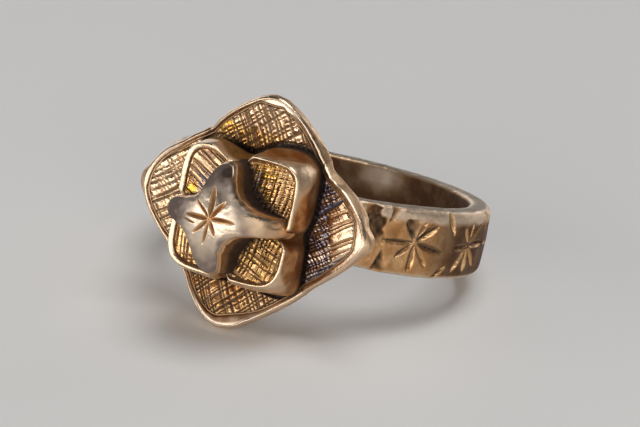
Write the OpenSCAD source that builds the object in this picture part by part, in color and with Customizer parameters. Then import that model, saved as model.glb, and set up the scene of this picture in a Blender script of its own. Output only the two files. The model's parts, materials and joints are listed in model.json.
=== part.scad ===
// Silver-gilt finger ring whose bezel is a double rose with a domed, four-armed boss.
// The ring lies as it comes to rest by itself: on the lowest petal's tip and the hoop's back edge.
// Millimetres. Z is up, the bezel faces -Y, and the origin is under the middle of the whole ring.

/* [Hoop] */
// Radius of the finger hole
bore_r = 9.5; // [9:0.1:10.5]
// Width of the band along the finger
band_w = 4.4; // [3.8:0.1:5]
// Thickness of the band
band_t = 1.6; // [1.3:0.1:2]
// Rounding of the band's outer edges
edge_r = 0.45; // [0.3:0.05:0.6]
// Bevel of the finger hole's two lips
lip = 0.2; // [0.1:0.05:0.3]

/* [Outer rose] */
// Radius at the notches between petals
notch_r = 6.15; // [6:0.05:6.4]
// Half angle over which a petal's tip is rounded
tip_round = 7; // [3:1:10]
// Height of the rim above the flower's back at the notches
rim_h = 1.2; // [1:0.1:1.6]
// How much higher the rim stands at the tips
tip_rise = 1.25; // [0.8:0.05:1.6]
// Depth of the recessed petal fields
field_d = 0.55; // [0.3:0.05:0.7]
// How far the nubs stand out on the two side petals
nub_len = 0.65; // [0.3:0.05:0.8]

/* [Inner rose] */
// Half width of the inner rose, measured between its petals' flat sides
cup_half = 4.4; // [4.2:0.1:4.5]
// Depth of the clefts between the inner petals
cleft_d = 0.4; // [0.2:0.05:0.5]
// Height of the inner rim above the flower's back
cup_h = 4.6; // [4:0.1:5]
// Depth of the cups at their rims
cup_d = 0.7; // [0.4:0.1:1]
// How far the inner rose sits below the middle of the flower
cup_drop = 0.3; // [0:0.05:0.4]

/* [Boss] */
// Reach of the four arms
arm_reach = 3.75; // [3.5:0.05:3.85]
// Radius of the boss between its arms
waist_r = 2.05; // [1.8:0.05:2.3]
// Height of the dome above the flower's back
dome_h = 8.2; // [7.5:0.1:8.6]
// How far the dome falls from its centre to the ends of the arms
dome_fall = 1.6; // [1.2:0.1:2]
// How far the boss sits below the middle of the flower
boss_drop = 0.4; // [0:0.05:0.45]

/* [Shoulders] */
// Half length of the solder fillets under the flower
fillet_x = 6.4; // [5:0.1:6.8]
// Width of the fillets along the finger
fillet_w = 3.4; // [2:0.1:3.8]

/* [Hidden] */
$fn = 144;

// Metal left between the finger hole and the flower's back
back_gap = 0.25;
// Height of the flower's back above the finger hole's axis
back = bore_r + back_gap;
outer_r = bore_r + band_t;
half_w = band_w / 2;
// The band's sides bulge a little: they start lower at the finger hole than at mid thickness
side_bulge = 0.2;
// The outer face is very slightly crowned
band_crown = 0.05;
// Points around each section of the flower, and the angle from one petal to the next
around = 96;
quarter = 90;
// Sharpness of the inner rose's corners, as the power of a superellipse
corner_power = 7;
// Angular half widths of a cleft, an arm's root and a nub
cleft_a = 7;
arm_a = 13;
nub_a = 6;

// The four outer petals as bent by hand, starting at the one on the right.
// Columns: direction of the tip, radius of the tip
petals = [
    [-3, 8.5],
    [86, 7.9],
    [181, 8.1],
    [267, 8.2]
];

// Angle from a direction to the nearest of the four axes
function off_axis(a) = abs((a + 360 + quarter / 2) % quarter - quarter / 2);
// A bell that is 1 on an axis and fades with the angle from it
function bell(off, width) = exp(-pow(off / width, 2));

// Outline of the outer rose: nearly straight sides from each notch to a rounded tip.
// Tipness is 0 at a notch and 1 at the tip of the petal that the direction falls in.
function petal_of(a) = floor(((a + quarter / 2) % 360) / quarter);
function from_tip(a, k) = (a - petals[k][0] + 540) % 360 - 180;
function tip_span(a, k) = quarter / 2 - sign(from_tip(a, k)) * (petals[k][0] - k * quarter);
function bend(off) = sqrt(off * off + tip_round * tip_round) - tip_round;
function tipness(a) =
    let (k = petal_of(a))
    1 - bend(abs(from_tip(a, k)) * quarter / 2 / tip_span(a, k)) / bend(quarter / 2);
function rose_r(a) = notch_r + (petals[petal_of(a)][1] - notch_r) * tipness(a);
function side_nub(a) = bell(min(abs(a - 180), abs(a), abs(a - 360)), nub_a);
// Outline of the inner rose: a rounded square with a cleft on each axis
function square_r(a) =
    cup_half / pow(pow(abs(cos(a)), corner_power) + pow(abs(sin(a)), corner_power), 1 / corner_power);
function cup_r(a) = square_r(a) - cleft_d * bell(off_axis(a), cleft_a);
// Outline of the boss: four blunt arms with hollow sides
function boss_r(a) = waist_r + (arm_reach - waist_r) * pow(cos(2 * off_axis(a)), 4);
// Height of the dome at a distance from its centre
function dome(r) = dome_h - dome_fall * pow(r / arm_reach, 2);
// How much of an arm there is in a direction: 1 along an arm, 0 over a cup
function arm(a) = pow(bell(off_axis(a), arm_a), 2);
function mix(p, q, t) = p + (q - p) * t;

// Sections of the outer rose's back, then of its rim as far as the foot of the inner rose.
// Columns: share of the outline, height at the notches, rise at the tips, share of the nubs
back_sections = [
    [0.40, 0.00, 0.00, 0.0],
    [0.70, 0.00, 0.10, 0.0]
];
rim_sections = [
    [0.95, 0.20, 0.70, 0.3],
    [0.99, 0.45, 0.85, 1.0],
    [1.00, rim_h - 0.35, tip_rise - 0.1, 0.5],
    [0.99, rim_h - 0.10, tip_rise, 0.1],
    [0.96, rim_h, tip_rise, 0.0],
    [0.92, rim_h - 0.10, tip_rise, 0.0],
    [0.89, rim_h - field_d, tip_rise, 0.0]
];
// The fields slope a little down to the foot of the inner rose
foot_floor = rim_h - field_d - 0.15;
// Sections of the inner rose, from its foot to the floor of its cups.
// Columns: share of the outline, height over a cup, share of the outline at an arm, height at an arm
cup_sections = [
    [1.00, foot_floor, 1.01, foot_floor],
    [1.02, cup_h / 2, 1.02, cup_h / 2],
    [1.01, cup_h - 0.45, 1.01, cup_h - 0.30],
    [0.98, cup_h - 0.10, 1.00, cup_h - 0.15],
    [0.95, cup_h, 0.99, cup_h],
    [0.91, cup_h - 0.15, 0.985, cup_h + 0.10],
    [0.88, cup_h - cup_d, 0.98, cup_h + 0.20]
];
// Sections of the boss, from its foot to its crown.
// Columns: share of the outline, drop below the dome there
boss_sections = [
    [1.02, 1.20],
    [1.00, 0.55],
    [0.97, 0.22],
    [0.91, 0.06],
    [0.75, 0.00],
    [0.50, 0.00],
    [0.25, 0.00]
];
// The boss's foot spreads on the floor of the cups, as far as this share of their outline
foot_spread = 1.12;
foot_limit = 0.86;
foot_h = cup_h - cup_d - 0.4;
// Under an arm it springs from the cleft instead
arm_foot_share = 0.97;
arm_foot_h = cup_h + 0.35;
// The rim comes no closer than this to the inner rose, whose walls swell by this share
field_gap = 0.06;
wall_swell = 1.01;

function turn(i) = i * 360 / around;
// Reach of the inner rose from the flower's middle, which it is dropped from
function cup_room(a) = wall_swell * (cup_r(a) - cup_drop * sin(a)) + field_gap;
function rose_point(row, a, least) =
    let (r = max(least, row[0] * rose_r(a) + row[3] * nub_len * side_nub(a)))
    [r * cos(a), r * sin(a), row[1] + row[2] * tipness(a)];
function cup_point(row, a) =
    let (t = arm(a), r = mix(row[0], row[2], t) * cup_r(a))
    [r * cos(a), r * sin(a) - cup_drop, mix(row[1], row[3], t)];
function foot_point(a) =
    let (t = arm(a), over_cup = min(foot_spread * boss_r(a), foot_limit * cup_r(a)))
    let (r = mix(over_cup, arm_foot_share * cup_r(a), t))
    [r * cos(a), r * sin(a) - cup_drop, mix(foot_h, arm_foot_h, t)];
function boss_point(row, a) =
    let (r = row[0] * boss_r(a))
    [r * cos(a), r * sin(a) - boss_drop, dome(r) - row[1]];

// Every section of the flower in order, each a closed ring of points
flower_rings = concat(
    [for (row = back_sections) [for (i = [0:around - 1]) rose_point(row, turn(i), 0)]],
    [for (row = rim_sections) [for (i = [0:around - 1]) rose_point(row, turn(i), cup_room(turn(i)))]],
    [for (row = cup_sections) [for (i = [0:around - 1]) cup_point(row, turn(i))]],
    [[for (i = [0:around - 1]) foot_point(turn(i))]],
    [for (row = boss_sections) [for (i = [0:around - 1]) boss_point(row, turn(i))]]
);
ring_count = len(flower_rings);
crown = [0, -boss_drop, dome_h];
flower_points = concat([for (ring = flower_rings) each ring], [crown]);
// Two triangles join each pair of neighbouring points to the next section
flower_walls = [
    for (k = [0:ring_count - 2], i = [0:around - 1])
        let (j = (i + 1) % around, low = k * around, high = low + around)
        each [[low + i, high + i, high + j], [low + i, high + j, low + j]]
];
flower_back = [[for (i = [0:around - 1]) i]];
top_ring = (ring_count - 1) * around;
flower_crown = [for (i = [0:around - 1]) [top_ring + i, ring_count * around, top_ring + (i + 1) % around]];

// Outline of the band's section as [radius, height]. It starts inside the finger hole, which is cut later.
blank_in = bore_r - 0.5;
side_h = half_w - side_bulge;
function edge_arc(up) = [for (t = [90:-15:0])
    [outer_r - edge_r + edge_r * cos(t), up * (half_w - edge_r + edge_r * sin(t))]];
function reversed(list) = [for (i = [len(list) - 1:-1:0]) list[i]];
band_section = concat(
    [[blank_in, -side_h], [bore_r, -side_h]],
    edge_arc(-1),
    [[outer_r + band_crown, 0]],
    reversed(edge_arc(1)),
    [[bore_r, side_h], [blank_in, side_h]]
);

// Lowest and furthest points of the hoop and of the flower once the ring is tilted by t
function low_band(t) = min([for (p = band_section) -p[0] * sin(t) + p[1] * cos(t)]);
function low_flower(t) = min([for (p = flower_points) (back + p[2]) * sin(t) + p[1] * cos(t)]);
function bisect(low, high, steps) =
    let (t = (low + high) / 2)
    steps == 0 ? t : low_flower(t) < low_band(t) ? bisect(t, high, steps - 1) : bisect(low, t, steps - 1);
// The tilt at which the lowest petal and the hoop's back edge touch the ground together
tilt = bisect(5, 30, 16);
front_reach = max([for (p = flower_points) (back + p[2]) * cos(tilt) - p[1] * sin(tilt)]);
back_reach = max([for (p = band_section) p[0] * cos(tilt) + p[1] * sin(tilt)]);

module band() {
    rotate_extrude()
        polygon(band_section);
}

module finger_hole() {
    cylinder(r = bore_r, h = 2 * band_w, center = true);
    for (up = [0, 1])
        mirror([0, 0, up])
            translate([0, 0, side_h - lip])
                cylinder(r1 = bore_r, r2 = bore_r + 2 * lip, h = 3 * lip);
}

// Solder that fills the wedge between the round hoop and the flower's flat back
module fillets() {
    // The wedge is sunk a little into both pieces, and leans in under the petals
    sunk = 0.25;
    lean = 0.6;
    hoop_y = sqrt(outer_r * outer_r - fillet_x * fillet_x) - sunk;
    rotate([0, 0, 180])
        translate([0, 0, -fillet_w / 2])
            linear_extrude(fillet_w)
                polygon([[-fillet_x, hoop_y], [0, bore_r - 1], [fillet_x, hoop_y],
                    [fillet_x - lean, back + sunk], [lean - fillet_x, back + sunk]]);
}

// The flower is drawn with its axis upright, then turned to face -Y
module flower() {
    rotate([90, 0, 0])
        translate([0, 0, back])
            polyhedron(flower_points, concat(flower_back, flower_walls, flower_crown), convexity = 8);
}

module ring() {
    color("gold")
        translate([0, (front_reach - back_reach) / 2, -low_band(tilt)])
            rotate([-tilt, 0, 0])
                difference() {
                    union() {
                        band();
                        fillets();
                        flower();
                    }
                    finger_hole();
                }
}

ring();
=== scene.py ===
"""Looks of a silver-gilt finger ring with a double-rose bezel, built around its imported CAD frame.

Shapes are worked out in millimetres in the ring's own directions, measured from the middle of the
finger hole: s to the side, a along the finger, b out towards the bezel. laid() turns them into the
frame's metres. Every piece is one closed skin over a grid of sections, which are carried round an
axis or, for the fillets, along the finger.
"""
import json
import math
from functools import partial

import bpy
import numpy as np
from bpy.props import FloatProperty, FloatVectorProperty, PointerProperty
from bpy.types import Operator, Panel, PropertyGroup
from mathutils import Matrix, Vector


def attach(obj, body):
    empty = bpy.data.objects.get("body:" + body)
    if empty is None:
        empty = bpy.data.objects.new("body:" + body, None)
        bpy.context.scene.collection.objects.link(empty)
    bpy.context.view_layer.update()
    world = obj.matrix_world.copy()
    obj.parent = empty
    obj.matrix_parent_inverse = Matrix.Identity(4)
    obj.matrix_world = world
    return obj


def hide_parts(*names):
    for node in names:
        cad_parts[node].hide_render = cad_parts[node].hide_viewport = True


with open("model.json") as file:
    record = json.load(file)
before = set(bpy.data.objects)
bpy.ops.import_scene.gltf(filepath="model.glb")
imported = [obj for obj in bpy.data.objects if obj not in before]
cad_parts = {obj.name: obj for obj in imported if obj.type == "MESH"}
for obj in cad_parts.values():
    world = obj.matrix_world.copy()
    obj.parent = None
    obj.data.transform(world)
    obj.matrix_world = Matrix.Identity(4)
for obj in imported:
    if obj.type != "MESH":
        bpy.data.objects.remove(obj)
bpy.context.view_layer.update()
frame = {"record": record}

bl_info = {
    "name": "Rose Ring",
    "version": (1, 0, 0),
    "blender": (4, 5, 0),
    "location": "3D View > Sidebar > Ring",
    "description": "Builds a silver-gilt finger ring with a double-rose bezel, piece by piece",
    "category": "Add Mesh",
}

MM = 0.001
# The finger hole's middle and axis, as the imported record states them
HOLE = next(m for m in frame["record"]["mounts"] if m["name"] == "finger_hole")
HOLE_AT = np.array(HOLE["pos_m"]) / MM
AXIS_A = np.array(HOLE["axis"])
AXIS_S = np.array([1.0, 0.0, 0.0])
AXIS_B = np.cross(AXIS_S, AXIS_A)
TURN = 2 * math.pi
DEG = math.pi / 180
# Keeps a division from failing where a length is nothing
TINY = 1e-9
# What each point tells the materials, as shares of 1: how much silver shows from rubbing and painted
# highlight, how much amber from stain and painted shade, how much umber from dirt and painted shade, and how
# blue-black, freshly gilt and dull it is
MARKS = ("rub_and_highlight", "stain_and_shade", "dirt_and_shade", "slate", "gold", "dull")


# Helpers for shapes

def laid(s, a, b):
    """Points given sideways, along the finger and out to the bezel, as metres in the frame."""
    s, a, b = np.broadcast_arrays(s, a, b)
    return (HOLE_AT + s[..., None] * AXIS_S + a[..., None] * AXIS_A + b[..., None] * AXIS_B) * MM


def ease(x, low, high):
    """A smooth step: 0 below low, 1 above high, with level ends between."""
    t = np.clip((x - low) / (high - low), 0, 1)
    return t * t * (3 - 2 * t)


def bell(x, width, power=2):
    """1 at x = 0, fading on both sides over the width; a higher power has a flatter top."""
    return np.exp(-np.abs(x / width) ** power)


def oval(x, y, middle, halves, power=4):
    """1 inside an oval patch with these half widths, fading over its border."""
    return bell(np.hypot((x - middle[0]) / halves[0], (y - middle[1]) / halves[1]), 1, power)


def turn_from(degrees, start):
    """The turn from one direction to another, between -180 and 180 degrees."""
    return (degrees - start + 540) % 360 - 180


def waves(x, y, size, seed):
    """Soft random relief, mostly from -1 to 1: a few sine waves with random directions, each about
    size long, added up and scaled back."""
    rng = np.random.default_rng(seed)
    total, count = 0, 7
    for _ in range(count):
        way, start, length = rng.uniform(0, TURN), rng.uniform(0, TURN), size * rng.uniform(0.7, 1.5)
        total = total + np.sin((x * math.cos(way) + y * math.sin(way)) * TURN / length + start)
    return total / count * 1.6


def round_waves(angle, turns, seed):
    """Soft random relief round an axis: a few sine waves with whole numbers of turns."""
    rng = np.random.default_rng(seed)
    total = sum(np.sin(angle * n + rng.uniform(0, TURN)) * rng.uniform(0.5, 1) for n in turns)
    return total / len(turns)


def round_table(angle, table, soften):
    """Radius at each angle from a table of (degrees, radius), joined by straight lines all the way
    round and then averaged by a bell that is soften degrees wide."""
    table = sorted((d % 360, r) for d, r in table)
    d, r = (np.array(v) for v in zip(*table))
    step = 0.25
    fine = np.arange(0, 360, step)
    value = np.interp(fine, d, r, period=360)
    last = int(3 * soften / step)
    reach = np.arange(-last, last + 1)
    weight = bell(reach * step, soften)
    value = sum(np.roll(value, k) * w for k, w in zip(reach, weight)) / weight.sum()
    return np.interp(np.degrees(angle) % 360, fine, value, period=360)


def even_angles(outline, count):
    """Angles whose points on an outline, a radius at each angle, lie at equal distances. The outline's
    length is added up in steps of a twentieth of a degree."""
    fine = np.linspace(0, TURN, 20 * 360 + 1)
    r = outline(fine)
    gone = np.concatenate([[0], np.cumsum(np.hypot(np.diff(r), r[:-1] * np.diff(fine)))])
    return np.interp(np.arange(count) / count * gone[-1], gone, fine)


def steps_between(rows, steps):
    """Carries a smooth curve through rows of values, with steps[k] points from row k to the next.
    The slope at a row is the harmonic mean of its neighbours' slopes, or 0 where they disagree in
    sign, so the curve never swings past a row."""
    rows = np.array(rows, float)
    rise = np.diff(rows, axis=0)
    before, after = rise[:-1], rise[1:]
    same = before * after > 0
    slope = np.zeros_like(rows)
    slope[1:-1] = np.where(same, 2 * before * after / np.where(same, before + after, 1), 0)
    slope[0], slope[-1] = rise[0], rise[-1]
    out = []
    for k, count in enumerate(steps):
        t = (np.arange(count) / count).reshape((-1,) + (1,) * (rows.ndim - 1))
        p, q, m, n = rows[k], rows[k + 1], slope[k], slope[k + 1]
        out.append((1 + 2 * t) * (1 - t) ** 2 * p + t * (1 - t) ** 2 * m
                   + t * t * (3 - 2 * t) * q + t * t * (t - 1) * n)
    out.append(rows[-1:])
    return np.concatenate(out)


def sections(angle, rows):
    """Carries smooth curves through rows of (name, radius, height, grid steps to the next row), where a
    radius or a height is one number or one for each angle. Gives the radius and the height of every
    point, the numbers of the grid's rows as a column, and the grid row of each named row."""
    names, radii, heights, steps = zip(*rows)
    radius, height = (
        steps_between([value + 0 * angle for value in column], steps[:-1]) for column in (radii, heights))
    at = dict(zip(names, np.cumsum([0, *steps[:-1]])))
    return radius, height, np.arange(len(radius))[:, None], at


def carved(points, depth):
    """The points of a grid whose columns close on themselves, moved inwards by a depth in millimetres.
    Their normals are the cross product of the grid's two directions of travel, each the difference of
    the neighbours on both sides, and outwards is where most of them lead away from the middle."""
    along = np.roll(points, -1, axis=1) - np.roll(points, 1, axis=1)
    normal = np.cross(along, np.gradient(points, axis=0))
    normal = normal / np.maximum(np.linalg.norm(normal, axis=2, keepdims=True), TINY * MM)
    outward = np.sign((normal * (points - points.mean((0, 1)))).sum(2).mean())
    return points - outward * normal * (depth * MM)[..., None]


def skin(name, points, marks, material, wrap_rows=False):
    """One closed mesh from a grid of points in metres. Columns close on themselves; so do the rows,
    or else a fan to their middle closes the first and the last row. The marks are kept from 0 to 1, as
    attributes that the material reads. Faces are turned outwards by the sign of the volume."""
    rows, cols = points.shape[:2]
    verts = points.reshape(-1, 3)
    at = np.arange(rows * cols).reshape(rows, cols)
    low = at if wrap_rows else at[:-1]
    high = np.roll(at, -1, axis=0) if wrap_rows else at[1:]
    quads = np.stack([low, np.roll(low, -1, axis=1), np.roll(high, -1, axis=1), high], -1).reshape(-1, 4)
    tris = np.zeros((0, 3), int)
    marks = {
        key: np.broadcast_to(np.clip(marks.get(key, 0.0), 0, 1), (rows, cols)).reshape(-1) for key in MARKS}
    if not wrap_rows:
        ends = [points[0].mean(0), points[-1].mean(0)]
        verts = np.concatenate([verts, ends])
        first, last = at[0], at[-1]
        tris = np.concatenate([
            np.stack([np.roll(first, -1), first, np.full(cols, rows * cols)], -1),
            np.stack([last, np.roll(last, -1), np.full(cols, rows * cols + 1)], -1),
        ])
        marks = {key: np.concatenate([value, [value[:cols].mean(), value[-cols:].mean()]])
                 for key, value in marks.items()}
    p, q, r, t = (verts[quads[:, k]] for k in range(4))
    volume = (np.cross(p, q) * r).sum() + (np.cross(p, r) * t).sum()
    volume += (np.cross(verts[tris[:, 0]], verts[tris[:, 1]]) * verts[tris[:, 2]]).sum()
    if volume < 0:
        quads, tris = quads[:, ::-1], tris[:, ::-1]
    mesh = bpy.data.meshes.new(name)
    mesh.vertices.add(len(verts))
    mesh.vertices.foreach_set("co", verts.astype(np.float32).ravel())
    loops = np.concatenate([quads.ravel(), tris.ravel()])
    sizes = np.concatenate([np.full(len(quads), 4), np.full(len(tris), 3)])
    mesh.loops.add(len(loops))
    mesh.loops.foreach_set("vertex_index", loops.astype(np.int32))
    mesh.polygons.add(len(sizes))
    mesh.polygons.foreach_set("loop_start", (np.cumsum(sizes) - sizes).astype(np.int32))
    mesh.polygons.foreach_set("use_smooth", np.ones(len(sizes), bool))
    mesh.update(calc_edges=True)
    if mesh.validate():
        raise RuntimeError(f"{name} has faces that don't hold together")
    for key, value in marks.items():
        mesh.attributes.new(key, "FLOAT", "POINT").data.foreach_set("value", value.astype(np.float32))
    mesh.materials.append(material)
    piece = bpy.data.objects.new(name, mesh)
    bpy.context.scene.collection.objects.link(piece)
    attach(piece, "root")
    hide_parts("ring")


# Helpers for tool marks, all giving depths in millimetres or shares of 1

def chisel(x, y, start, end, width, lean=0.0, fullest=0.55):
    """One leaf-shaped cut from start to end: widest at the share fullest of its length, pointed at
    both ends, with a V section whose valley leans to the left of its line. Gives its share of depth,
    a share that is 1 on the valley's line, and that share on the V's upper or rear side alone."""
    (x0, y0), (x1, y1) = start, end
    length = math.hypot(x1 - x0, y1 - y0)
    ux, uy = (x1 - x0) / length, (y1 - y0) / length
    t = ((x - x0) * ux + (y - y0) * uy) / length
    off = ((y - y0) * ux - (x - x0) * uy) / (width / 2)
    inside = np.clip(t, 0, 1)
    grow = np.where(inside < fullest, inside / fullest, (1 - inside) / (1 - fullest))
    half = np.sqrt(np.clip(1 - (1 - grow) ** 2, 0, 1))
    side = (off - lean * half) / np.maximum(half * np.where(off > lean * half, 1 - lean, 1 + lean), TINY)
    near = np.where((t > 0) & (t < 1), np.clip(1 - np.abs(side), 0, 1), 0)
    return half * near, near, near * (side * np.sign(ux + uy) > 0)


def hatching(x, y, degrees, pitch, width, seed, wander=0.16, skips=0.25, tilt=0.3):
    """A family of hand-cut lines: V grooves about a pitch apart, each with its own shift, slant,
    strength and skips, and lands between them whose stretches of about a millimetre each lean their
    own way. Gives the grooves' share of depth and the lands' lean."""
    rng = np.random.default_rng(seed)
    # After this many lines, a prime number, their habits start again
    count = 61
    shift, slant, strength, wide, slow, start, lean = rng.uniform(-1, 1, (7, count))
    c, s = math.cos(degrees * DEG), math.sin(degrees * DEG)
    u, v = x * c + y * s, y * c - x * s
    v = v + 0.035 * np.sin(u * 2.1 + seed)
    nearest = np.rint(v / pitch).astype(int)
    groove = np.zeros(np.broadcast(x, y).shape)
    for k in (nearest - 1, nearest, nearest + 1):
        i = k % count
        off = np.abs(v - pitch * (k + wander * shift[i]) - 0.05 * slant[i] * u)
        lift = ease(np.sin(u * (2.2 + slow[i]) + 3 * start[i]), -1.15, -1 + 2 * skips)
        cut = np.clip(1 - off / (width * (0.5 + 0.14 * wide[i])), 0, 1)
        groove = np.maximum(groove, cut * (0.75 + 0.25 * strength[i]) * (0.25 + 0.75 * lift))
    land = np.floor(v / pitch).astype(int)
    stretch = np.floor(u / (1.1 + 0.5 * shift[land % count])).astype(int)
    lying = lean[(land + 7 * stretch) % count] * (v / pitch - land - 0.5)
    return groove, tilt * lying * (1 - groove)


def crossed(one, other, share=1.0):
    """Two families of lines cut over each other: the deeper groove wins, the leans add up."""
    return np.maximum(one[0], share * other[0]), one[1] + share * other[1]


def side_by_side(families):
    """Depth and lean of several families of lines, each in the area that its share covers."""
    return [sum(share * family[k] for share, family in families) for k in (0, 1)]


# Sizes and colours that a user would change

def linear(code):
    """The linear colour of an sRGB hex code."""
    parts = [int(code[i:i + 2], 16) / 255 for i in (1, 3, 5)]
    return tuple(p / 12.92 if p <= 0.04045 else ((p + 0.055) / 1.055) ** 2.4 for p in parts)


def length(name, about, metres):
    """A length property in metres."""
    return FloatProperty(name=name, description=about, default=metres, min=0, precision=5, unit="LENGTH")


def colour(name, about, code):
    """A colour property from an sRGB hex code."""
    value = linear(code)
    return FloatVectorProperty(name=name, description=about, default=value, min=0, max=1, subtype="COLOR")


class RingSizes(PropertyGroup):
    """Sizes of the ring's pieces."""
    hole: length("Finger hole", "Radius of the finger hole", HOLE["dims"]["r_mm"] * MM)
    thick: length("Thickness", "Thickness of the hoop", 0.0016)
    wide: length("Width", "Width of the hoop along the finger", 0.0044)
    star_cut: length("Star depth", "Depth of the chiselled stars on the hoop", 0.00034)
    field_cut: length("Hatching depth", "Depth of the cross-hatching on the outer petals", 0.00012)
    cup_cut: length("Cup hatching depth", "Depth of the cross-hatching in the inner petals", 0.00012)
    boss_cut: length("Boss star depth", "Depth of the star cut in the boss", 0.00015)


class RingColours(PropertyGroup):
    """Colours of the worn gilding and its stains."""
    gilt: colour("Gilding", "Fire gilding where it is sound", "#E8BF8E")
    # Silver also paints a highlight inside the hoop, and amber and umber also paint shade where the marks
    # ask for it
    silver: colour("Silver", "Bare silver where the gilding is worn through", "#DECDB9")
    amber: colour("Amber stain", "Brown lacquer-like tarnish in the recesses", "#87501F")
    umber: colour("Dirt", "Dark dirt at the bottom of cuts", "#2B1B10")
    slate: colour("Blue-black tarnish", "Sulphide tarnish", "#616C89")
    copper: colour("Thin film", "Tarnish over fresh gold where it is thin", "#B85F28")
    olive: colour("Thick film", "Tarnish over fresh gold where it is thick", "#7C7C3A")
    bright: colour("Fresh gold", "Patches of bright yellow gilding", "#EDB045")
    floor: colour("Floor", "The studio's pale floor", "#ECEAE7")


# Materials

def add(tree, kind, inputs, out=0, **settings):
    """Adds one node: sets its properties, fills its inputs, each by name or number, with a number, a
    colour or another node's output, and gives back the output called out."""
    node = tree.nodes.new(kind)
    for key, value in settings.items():
        setattr(node, key, value)
    for key, value in inputs.items():
        if isinstance(value, bpy.types.NodeSocket):
            tree.links.new(value, node.inputs[key])
        else:
            node.inputs[key].default_value = value
    return node.outputs[out] if len(node.outputs) else node


def gilded_silver(name, hammer, scratch, dull, pitting=0.6):
    """Fire-gilt silver, cast and finished by hand, then worn: soft satin highlights, silver on what stands
    proud and in painted highlights, amber and umber stains where nothing rubs, and the same amber and umber
    as painted shade. The piece's own marks say where."""
    colours = bpy.context.scene.ring_colours
    material = bpy.data.materials.new(name)
    material.use_nodes = True
    tree = material.node_tree
    tree.nodes.clear()
    tint = {key: (*getattr(colours, key), 1.0) for key in RingColours.__annotations__}
    deep_gilt = tuple(c * k for c, k in zip(tint["gilt"], (0.90, 0.80, 0.68, 1.0)))
    place = add(tree, "ShaderNodeTexCoord", {}, out="Object")
    mark = {key: add(tree, "ShaderNodeAttribute", {}, out="Fac", attribute_name=key) for key in MARKS}
    # Noises by their count to a millimetre: a blotch is 1.4 mm across, a grain 0.4 mm, a fine one 0.11 mm
    basis = {"Vector": place, "Roughness": 0.6}
    blotch, grain, fine = (
        add(tree, "ShaderNodeTexNoise", {**basis, "Scale": count / MM, "Detail": detail})
        for count, detail in ((0.7, 4), (2.6, 4), (9.0, 3)))
    soft = {"interpolation_type": "SMOOTHSTEP"}
    mix = {"out": 2, "data_type": "RGBA"}
    # Gilding varies from pale to deep over a millimetre or two
    warmth = add(tree, "ShaderNodeMapRange", {"Value": blotch, "From Min": 0.35, "From Max": 0.65}, **soft)
    metal = add(tree, "ShaderNodeMix", {0: warmth, 6: tint["gilt"], 7: deep_gilt}, **mix)
    # Fresh gold lies under specks of tarnish film, which is coppery and then olive as it thickens
    thick = add(tree, "ShaderNodeMapRange", {"Value": grain, "From Min": 0.46, "From Max": 0.54}, **soft)
    film = add(tree, "ShaderNodeMix", {0: thick, 6: tint["copper"], 7: tint["olive"]}, **mix)
    speck = add(tree, "ShaderNodeMapRange", {"Value": fine, "From Min": 0.47, "From Max": 0.6}, **soft)
    fresh = add(tree, "ShaderNodeMix", {0: speck, 6: tint["bright"], 7: film}, **mix)
    # Over the gilding come silver where hands rub and where a highlight is painted, amber tarnish and
    # painted shade, fresh gold and blue-black sulphide, each as its mark says and thinner where its noise is
    # low
    layers = [
        # mark, noise, noise where it is thinnest and where it is whole, thinnest share, colour
        ("rub_and_highlight", grain, 0.25, 0.60, 0.72, tint["silver"]),
        ("stain_and_shade", blotch, 0.35, 0.60, 0.60, tint["amber"]),
        ("gold", grain, 0.30, 0.50, 0.0, fresh),
        ("slate", grain, 0.32, 0.52, 0.50, tint["slate"]),
    ]
    share = {}
    for key, noise, thin, whole, least, cover in layers:
        span = {"Value": noise, "From Min": thin, "From Max": whole, "To Min": least}
        patches = add(tree, "ShaderNodeMapRange", span, **soft)
        inputs = {0: mark[key], 1: patches}
        share[key] = add(tree, "ShaderNodeMath", inputs, operation="MULTIPLY", use_clamp=True)
        metal = add(tree, "ShaderNodeMix", {0: share[key], 6: metal, 7: cover}, **mix)
    # Dirt is packed in the cuts and sits in the pits of what is dull; the same umber is painted shade where
    # the marks put shade
    span = {"Value": fine, "From Min": 0.2, "From Max": 0.6, "To Min": 0.88}
    crumbs = add(tree, "ShaderNodeMapRange", span, **soft)
    span = {"Value": fine, "From Min": 0.42, "From Max": 0.3, "To Max": pitting}
    pits = add(tree, "ShaderNodeMapRange", span, **soft)
    pits = add(tree, "ShaderNodeMath", {0: pits, 1: mark["dull"]}, operation="MULTIPLY")
    inputs = {0: mark["dirt_and_shade"], 1: crumbs, 2: pits}
    grime_and_shade = add(tree, "ShaderNodeMath", inputs, operation="MULTIPLY_ADD", use_clamp=True)
    metal = add(tree, "ShaderNodeMix", {0: grime_and_shade, 6: metal, 7: tint["umber"]}, **mix)
    # The satin dulls with wear, tarnish, dirt and painted shade; dirt and painted shade are no metal
    span = {"Value": grain, "From Min": 0.3, "From Max": 0.7, "To Min": dull - 0.05, "To Max": dull + 0.07}
    satin = add(tree, "ShaderNodeMapRange", span)
    for cause, much in ((mark["dull"], 0.3), (share["stain_and_shade"], 0.1), (grime_and_shade, 0.3)):
        satin = add(tree, "ShaderNodeMath", {0: cause, 1: much, 2: satin}, operation="MULTIPLY_ADD")
    metallic = add(tree, "ShaderNodeMath", {0: grime_and_shade, 1: -0.75, 2: 1.0}, operation="MULTIPLY_ADD")
    # Relief that only the light shows: old hammer and file marks, the skin's own grain, and scratches,
    # each with the millimetres from its noise's lowest to its highest place at full strength
    relief = {}
    for height, strength, deep in ((blotch, hammer, 0.3), (grain, hammer, 0.05), (fine, scratch, 0.02)):
        inputs = {"Height": height, "Strength": strength, "Distance": deep * MM, **relief}
        relief = {"Normal": add(tree, "ShaderNodeBump", inputs)}
    inputs = {"Base Color": metal, "Roughness": satin, "Metallic": metallic, **relief}
    add(tree, "ShaderNodeOutputMaterial", {"Surface": add(tree, "ShaderNodeBsdfPrincipled", inputs)})
    return material


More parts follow.
